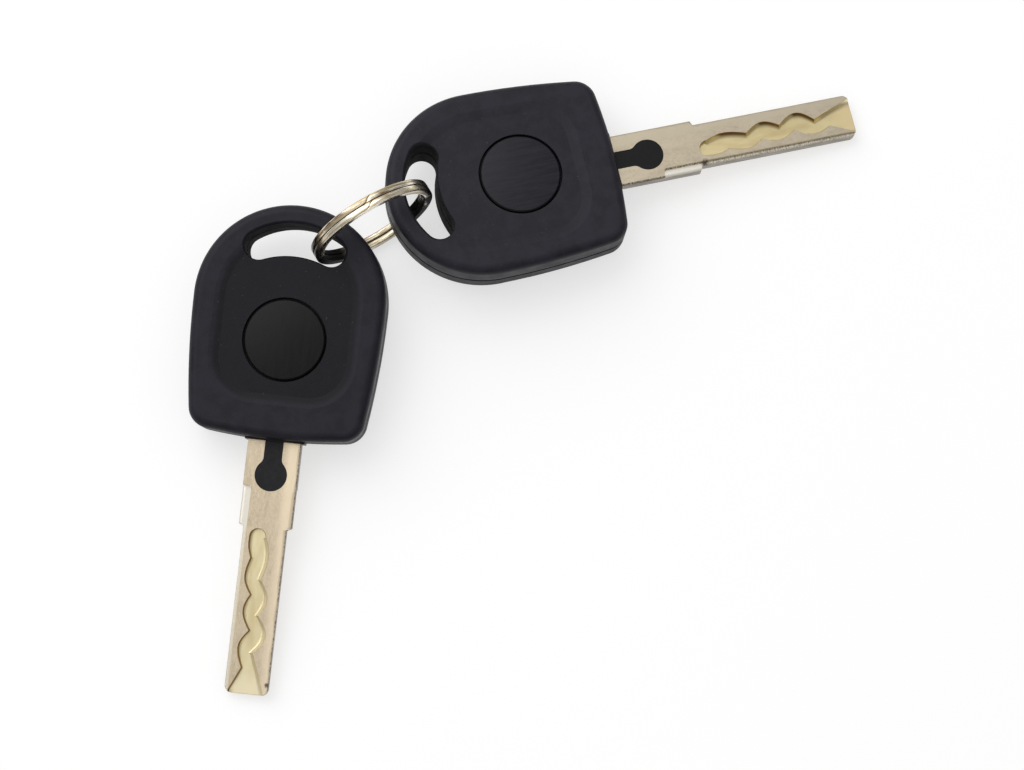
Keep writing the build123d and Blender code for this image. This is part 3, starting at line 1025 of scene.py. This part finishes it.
def make_blade_steel(piece):
    """Plated steel with milled cuts."""
    material = new_material(f"{piece}_blade_steel")
    tree = material.node_tree
    tones = BLADES[piece]
    place = own_millimetres(tree, piece)
    x, y, z = split_axes(tree, place)
    depth = reckon(tree, "ABSOLUTE", z)
    across = times(tree, x, reckon(tree, "SIGN", z))
    on = cut_masks(tree, across, y, depth)

    spread = stretch(tree, place, (1.0, 0.6, 1.0))
    mottle = place_group(tree, mottle_group, Vector=spread, Scale=1.1)
    grain, pits = mottle.outputs["Grain"], mottle.outputs["Pits"]
    rubbed = noise(tree, stretch(tree, place, (0.5, 0.12, 1.0)), 1.0, 3.0)
    matt = times(tree, on["far_wall"], tones["matt_wall"])
    # Painted shade in a dotted line along the edges that face away from the lamp, and one dark
    # spot; both dull the metal
    edge_shade_and_spot = edge_shade_and_spot_mask(tree, piece, place, across, y)
    edge_shade_and_spot = times(tree, edge_shade_and_spot, ramp(tree, depth, 0.3, 0.5))
    face = face_colour(tree, tones, place, across, rubbed, grain, pits)
    base = lay_over(
        tree,
        mix_colours(tree, on["face"], tones["wall"], face),
        (on["track"], track_colour(tree, tones, y, rubbed)),
        # Painted shade and light on the track walls, placed by the values stored on the mesh
        (on["low_wall"], tones["low_wall"]),
        (on["high_wall"], tones["high_wall"]),
        (on["rebate"], rebate_colour(tree, tones, place, y, pits)),
        (on["side"], side_colour(tree, place)),
        (times(tree, edge_shade_and_spot, 0.9), EDGE_SHADE_TONE),
    )
    polish = ramp(tree, rubbed, 0.3, 0.75, 0.42, 0.36)
    dulled = plus(tree, times(tree, matt, 0.4), times(tree, pits, 0.12))
    metal_outside_shade = minus(tree, 1.0, times(tree, edge_shade_and_spot, 0.6))
    height = times(tree, minus(tree, grain, pits), PLATING_GRAIN)
    skin(
        tree,
        Base_Color=base,
        Roughness=plus(tree, polish, dulled),
        Metallic=minus(tree, metal_outside_shade, matt),
        Normal=bump(tree, height, 1.0, MM),
    )
    return material


for key in KEYS:
    dress(blades[key], make_blade_steel(key))
    print(blades[key].name, "wears", blades[key].data.materials[0].name)

# %% [markdown]
# The ring is flat spring wire wound twice. Seen from above its two turns lie side by
# side with a dark line between them, and the shine along the wire is broken by brown
# tarnish and by rubs. Tarnish and scratches follow the wire, and the ring is painted with
# shade in the gap between the turns, at its sides and inside the keys' slots, and darker
# towards its bottom, so the pattern uses the turn's bearing, the radius and the height
# instead of plain axes.

# %% Sizes and tones of the ring
RING_OUTER = 11.5
WIRE_RADIAL = 1.5
WIRE_AXIAL = 1.08
TURN_GAP = 0.06
RING_PALE = colour(254, 248, 230)
RING_TONE = colour(196, 178, 142)
RING_BROWN = colour(128, 98, 62)
# Painted shade in the gap between the two turns
RING_GAP_SHADE = colour(104, 80, 52)
RING_SHADE = colour(72, 68, 62)
# The ring is painted darker towards its bottom
RING_LOWER_TONE = colour(128, 116, 92)
# Painted shade inside the keys' slots
RING_SLOT_SHADE = colour(26, 23, 20)
RUB_FROM = -0.36
RUB_TO = -0.16
LINE_RELIEF = 0.02
print("wire:", WIRE_RADIAL, "by", WIRE_AXIAL, "mm, ring:", 2 * RING_OUTER, "mm across")


# %% Ring steel
def make_ring_steel():
    """Nickel plate with tarnish along the wire, painted shade between the turns, at the sides
    and inside the slots, and darker towards the bottom.
    """
    material = new_material("ring_steel")
    tree = material.node_tree
    x, y, z = split_axes(tree, own_millimetres(tree, "ring"))
    radius = reach(tree, x, y)
    bearing = reckon(tree, "ARCTAN2", y, x)
    upward = reckon(tree, "SINE", bearing)
    sideways = reckon(tree, "ABSOLUTE", reckon(tree, "COSINE", bearing))
    along = times(tree, bearing, RING_OUTER)
    wire = add_node(tree, "ShaderNodeCombineXYZ", X=along, Y=radius, Z=z).outputs["Vector"]
    lines = noise(tree, stretch(tree, wire, (0.12, 1.6, 3.2)), 1.0, 3.0, 0.6)
    patches = noise(tree, stretch(tree, wire, (0.3, 0.5, 0.9)), 1.0, 2.0)

    # Painted shade in the gap between the two turns
    between = band(tree, z, -0.05, 0.05, 0.05)
    tarnish = times(tree, ramp(tree, patches, 0.52, 0.66), ramp(tree, lines, 0.4, 0.6))
    at_sides = times(tree, ramp(tree, sideways, 0.86, 0.96), ramp(tree, lines, 0.66, 0.48))
    # The ring is painted darker towards its bottom
    under = times(tree, ramp(tree, upward, -0.6, -0.8), ramp(tree, lines, 0.6, 0.4, 0.3, 0.9))
    rubbed = band(tree, bearing, RUB_FROM, RUB_TO, 0.06)
    rubbed = times(tree, rubbed, ramp(tree, patches, 0.42, 0.56))
    # Painted shade on the inner faces of the lower half, inside the keys' slots, except where
    # the wire is rubbed
    shaded_low_inside = times(
        tree,
        ramp(tree, upward, 0.12, -0.02),
        ramp(tree, sideways, 0.5, 0.7),
        ramp(tree, radius, RING_OUTER - 0.02, RING_OUTER - 0.2),
        minus(tree, 1.0, rubbed),
    )
    base = lay_over(
        tree,
        mix_colours(tree, ramp(tree, lines, 0.40, 0.56), RING_TONE, RING_PALE),
        (tarnish, RING_BROWN),
        (scratches(tree, wire, (0.1, 2.0, 3.4), 0.75), RING_BROWN),
        (times(tree, at_sides, 0.9), RING_SHADE),
        (under, RING_LOWER_TONE),
        (shaded_low_inside, RING_SLOT_SHADE),
        (minus(tree, between, shaded_low_inside), RING_GAP_SHADE),
    )
    shine = ramp(tree, lines, 0.3, 0.7, 0.3, 0.2)
    # Where shade is painted, in the gap and inside the slots, the wire is less metallic
    gap_and_slot_shade = plus(tree, times(tree, between, 0.5), times(tree, shaded_low_inside, 0.5))
    skin(
        tree,
        Base_Color=base,
        Roughness=plus(tree, shine, times(tree, shaded_low_inside, 0.35)),
        Metallic=minus(tree, 1.0, gap_and_slot_shade),
        Specular_IOR_Level=0.2,
        Normal=bump(tree, times(tree, lines, LINE_RELIEF), 1.0, MM),
    )
    return material


ring_steel = make_ring_steel()
print("made", ring_steel.name)

# %% [markdown]
# The real wire was drawn through a die, so its edges are round, and they catch the light
# in thin lines. The measured ring has plain chamfers. A new wire with round edges takes
# its place: a small rectangle with bevelled corners is spun round the ring's axis twice,
# and steps sideways from one turn to the other where the wire crosses. Both ends are
# ground to a slant, so they lie close along the crossing and leave no open notch.

# %% Outline of the wire
EDGE_ROUND = 0.20
INSET = 0.025


def wire_profile(mesh, bearing, height):
    """Outline of the wire across its length, as a loop of edges."""
    made = bmesh.ops.create_grid(mesh, x_segments=1, y_segments=1, size=0.5)
    corners = made["verts"]
    bmesh.ops.scale(mesh, vec=(WIRE_RADIAL, WIRE_AXIAL, 1.0), verts=corners)
    bmesh.ops.bevel(
        mesh,
        geom=corners,
        offset=EDGE_ROUND,
        segments=4,
        profile=0.5,
        affect="VERTICES",
        material=-1,
    )
    upright = Matrix.Rotation(math.radians(90), 3, "X")
    bmesh.ops.rotate(mesh, cent=(0, 0, 0), matrix=upright, verts=mesh.verts)
    middle = RING_OUTER - INSET - WIRE_RADIAL / 2
    bmesh.ops.translate(mesh, vec=(middle, 0, height), verts=mesh.verts)
    turn = Matrix.Rotation(math.radians(bearing), 3, "Z")
    bmesh.ops.rotate(mesh, cent=(0, 0, 0), matrix=turn, verts=mesh.verts)
    bmesh.ops.delete(mesh, geom=mesh.faces[:], context="FACES_ONLY")
    return mesh.edges[:]


# %% Winding and crossing
CROSSING_START = 83.0
CROSSING_ARC = 10.0
CROSSING_STEPS = 16
STEPS_A_TURN = 144
END_THICKNESS = 0.04


def wind(mesh, loop, angle, steps, rise):
    """Spins the loop by an angle and lifts it on the way. Returns the new end's loop."""
    made = bmesh.ops.spin(
        mesh,
        geom=loop,
        cent=(0, 0, 0),
        axis=(0, 0, 1),
        dvec=(0, 0, rise / steps),
        angle=math.radians(angle),
        steps=steps,
        use_duplicate=False,
    )
    return [item for item in made["geom_last"] if isinstance(item, bmesh.types.BMEdge)]


def crossing_height(share):
    """Middle of the wire while it crosses, from the lower turn at 0 to the upper at 1."""
    eased = share * share * (3 - 2 * share)
    return (WIRE_AXIAL + TURN_GAP) * (eased - 0.5)


def cross(mesh, loop):
    """Winds the wire from the lower turn to the upper one."""
    for step in range(CROSSING_STEPS):
        here = crossing_height(step / CROSSING_STEPS)
        there = crossing_height((step + 1) / CROSSING_STEPS)
        loop = wind(mesh, loop, CROSSING_ARC / CROSSING_STEPS, 1, there - here)
    return loop


def grind_end(mesh, loop, side):
    """Draws a wire's end out along the crossing. side is -1 for the lower turn's start."""
    outer = side * (WIRE_AXIAL + TURN_GAP / 2)
    to_outer = Matrix.Translation((0, 0, -outer))
    width = WIRE_AXIAL
    for step in range(1, CROSSING_STEPS + 1):
        middle = crossing_height(1 - step / CROSSING_STEPS)
        room = WIRE_AXIAL / 2 + TURN_GAP / 2 + middle
        thinner = max(min(room, WIRE_AXIAL), END_THICKNESS)
        loop = wind(mesh, loop, side * CROSSING_ARC / CROSSING_STEPS, 1, 0.0)
        ends = list({vert for edge in loop for vert in edge.verts})
        bmesh.ops.scale(mesh, vec=(1, 1, thinner / width), space=to_outer, verts=ends)
        width = thinner


print("the crossing lifts the wire by", round(crossing_height(1) - crossing_height(0), 2), "mm")


# %% Wire of the ring
def make_ring_wire():
    """Two turns of flat wire, with slanted ends, capped."""
    mesh = bmesh.new()
    half_rise = (WIRE_AXIAL + TURN_GAP) / 2
    one_turn = 360.0 - CROSSING_ARC
    first_loop = wire_profile(mesh, CROSSING_START + CROSSING_ARC, -half_rise)
    grind_end(mesh, first_loop, -1)
    loop = wind(mesh, first_loop, one_turn, STEPS_A_TURN, 0.0)
    loop = cross(mesh, loop)
    loop = wind(mesh, loop, one_turn, STEPS_A_TURN, 0.0)
    grind_end(mesh, loop, 1)
    open_edges = [edge for edge in mesh.edges if edge.is_boundary]
    caps = bmesh.ops.holes_fill(mesh, edges=open_edges, sides=0)["faces"]
    bmesh.ops.recalc_face_normals(mesh, faces=mesh.faces)
    bmesh.ops.transform(mesh, matrix=place_matrix("ring"), verts=mesh.verts)
    print("wire:", len(mesh.faces), "faces,", len(caps), "caps")
    return finish_piece(mesh, "ring_wire")


ring_wire = make_ring_wire()
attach(ring_wire, "ring")
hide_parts("split_ring")
dress(ring_wire, ring_steel)

# %% [markdown]
# The blades and the ring are new pieces and have their steel. The moulded pieces keep
# their measured shapes, so each of them only gets the plastic that was made for it.

# %% Dress the moulded pieces
for name, finish in finishes.items():
    dress(cad[name], finish)
print("dressed:", len(finishes), "pieces in", len(bpy.data.materials), "materials")

# %% [markdown]
# The floor is a wide pale sheet. In the photo it is plain white, so for the camera, and
# for anything that mirrors it, the floor glows just enough to read as white where no
# shadow falls. The glow is not a lamp: it puts no light on the keys.

# %% Floor
FLOOR_SIZE = 3.0
FLOOR_TONES = ((0.44, 0.44, 0.44, 1.0), (0.46, 0.46, 0.46, 1.0))
FLOOR_GLOW = 0.62


def make_floor_paint():
    """Pale paint that reads as white to the camera."""
    material = new_material("floor_white")
    tree = material.node_tree
    place = add_node(tree, "ShaderNodeTexCoord").outputs["Object"]
    path = add_node(tree, "ShaderNodeLightPath").outputs
    seen = reckon(tree, "MAXIMUM", path["Is Camera Ray"], path["Is Glossy Ray"])
    seen = reckon(tree, "MAXIMUM", seen, path["Is Transmission Ray"])
    paint = add_node(
        tree,
        "ShaderNodeBsdfPrincipled",
        Base_Color=mix_colours(tree, noise(tree, place, 9.0, 2.0), *FLOOR_TONES),
        Roughness=0.9,
        Specular_IOR_Level=0.1,
    )
    glow = add_node(tree, "ShaderNodeEmission", Strength=times(tree, seen, FLOOR_GLOW))
    both = add_node(tree, "ShaderNodeAddShader")
    tree.links.new(paint.outputs[0], both.inputs[0])
    tree.links.new(glow.outputs[0], both.inputs[1])
    finish_surface(tree, both)
    return material


bpy.ops.mesh.primitive_plane_add(size=FLOOR_SIZE, location=(0, 0, 0))
floor = bpy.context.object
floor.name = "floor"
dress(floor, make_floor_paint())
print("floor:", FLOOR_SIZE, "m wide")

# %% [markdown]
# The light is a large soft lamp at the upper left, and a sky that is bright overhead and
# darker towards the horizon. Steel shows what it mirrors, so the dark horizon is what
# gives the cut walls and the ring's sides their depth.

# %% Lamp
LAMP_PLACE = Vector((-0.42, 0.50, 0.75))
LAMP_SIZE = 1.0
LAMP_WATTS = 4.9
lamp_data = bpy.data.lights.new("key_lamp", "AREA")
lamp_data.shape = "SQUARE"
lamp_data.size = LAMP_SIZE
lamp_data.energy = LAMP_WATTS
key_lamp = bpy.data.objects.new("key_lamp", lamp_data)
key_lamp.location = LAMP_PLACE
key_lamp.rotation_euler = LAMP_PLACE.to_track_quat("Z", "Y").to_euler()
bpy.context.scene.collection.objects.link(key_lamp)
print("lamp at", [round(v, 2) for v in key_lamp.location])

# %% Sky
SKY_LEAN = (-0.12, 0.14, 0.55)
SKY_LEVEL = 0.34
SKY_LEAST = 0.12


def make_sky():
    """Bright overhead, darker at the horizon, a little brighter on the lamp's side."""
    world = bpy.data.worlds.new("soft_room")
    world.use_nodes = True
    tree = world.node_tree
    tree.nodes.clear()
    direction = add_node(tree, "ShaderNodeTexCoord").outputs["Generated"]
    lean = add_node(tree, "ShaderNodeVectorMath", {"operation": "DOT_PRODUCT"})
    tree.links.new(direction, lean.inputs[0])
    lean.inputs[1].default_value = SKY_LEAN
    level = plus(tree, lean.outputs["Value"], SKY_LEVEL)
    strength = reckon(tree, "MAXIMUM", level, SKY_LEAST)
    sky = add_node(tree, "ShaderNodeBackground", Strength=strength)
    output = add_node(tree, "ShaderNodeOutputWorld")
    tree.links.new(sky.outputs[0], output.inputs["Surface"])
    return world


bpy.context.scene.world = make_sky()
bpy.context.scene.view_settings.view_transform = "Standard"
print("sky:", bpy.context.scene.world.name)
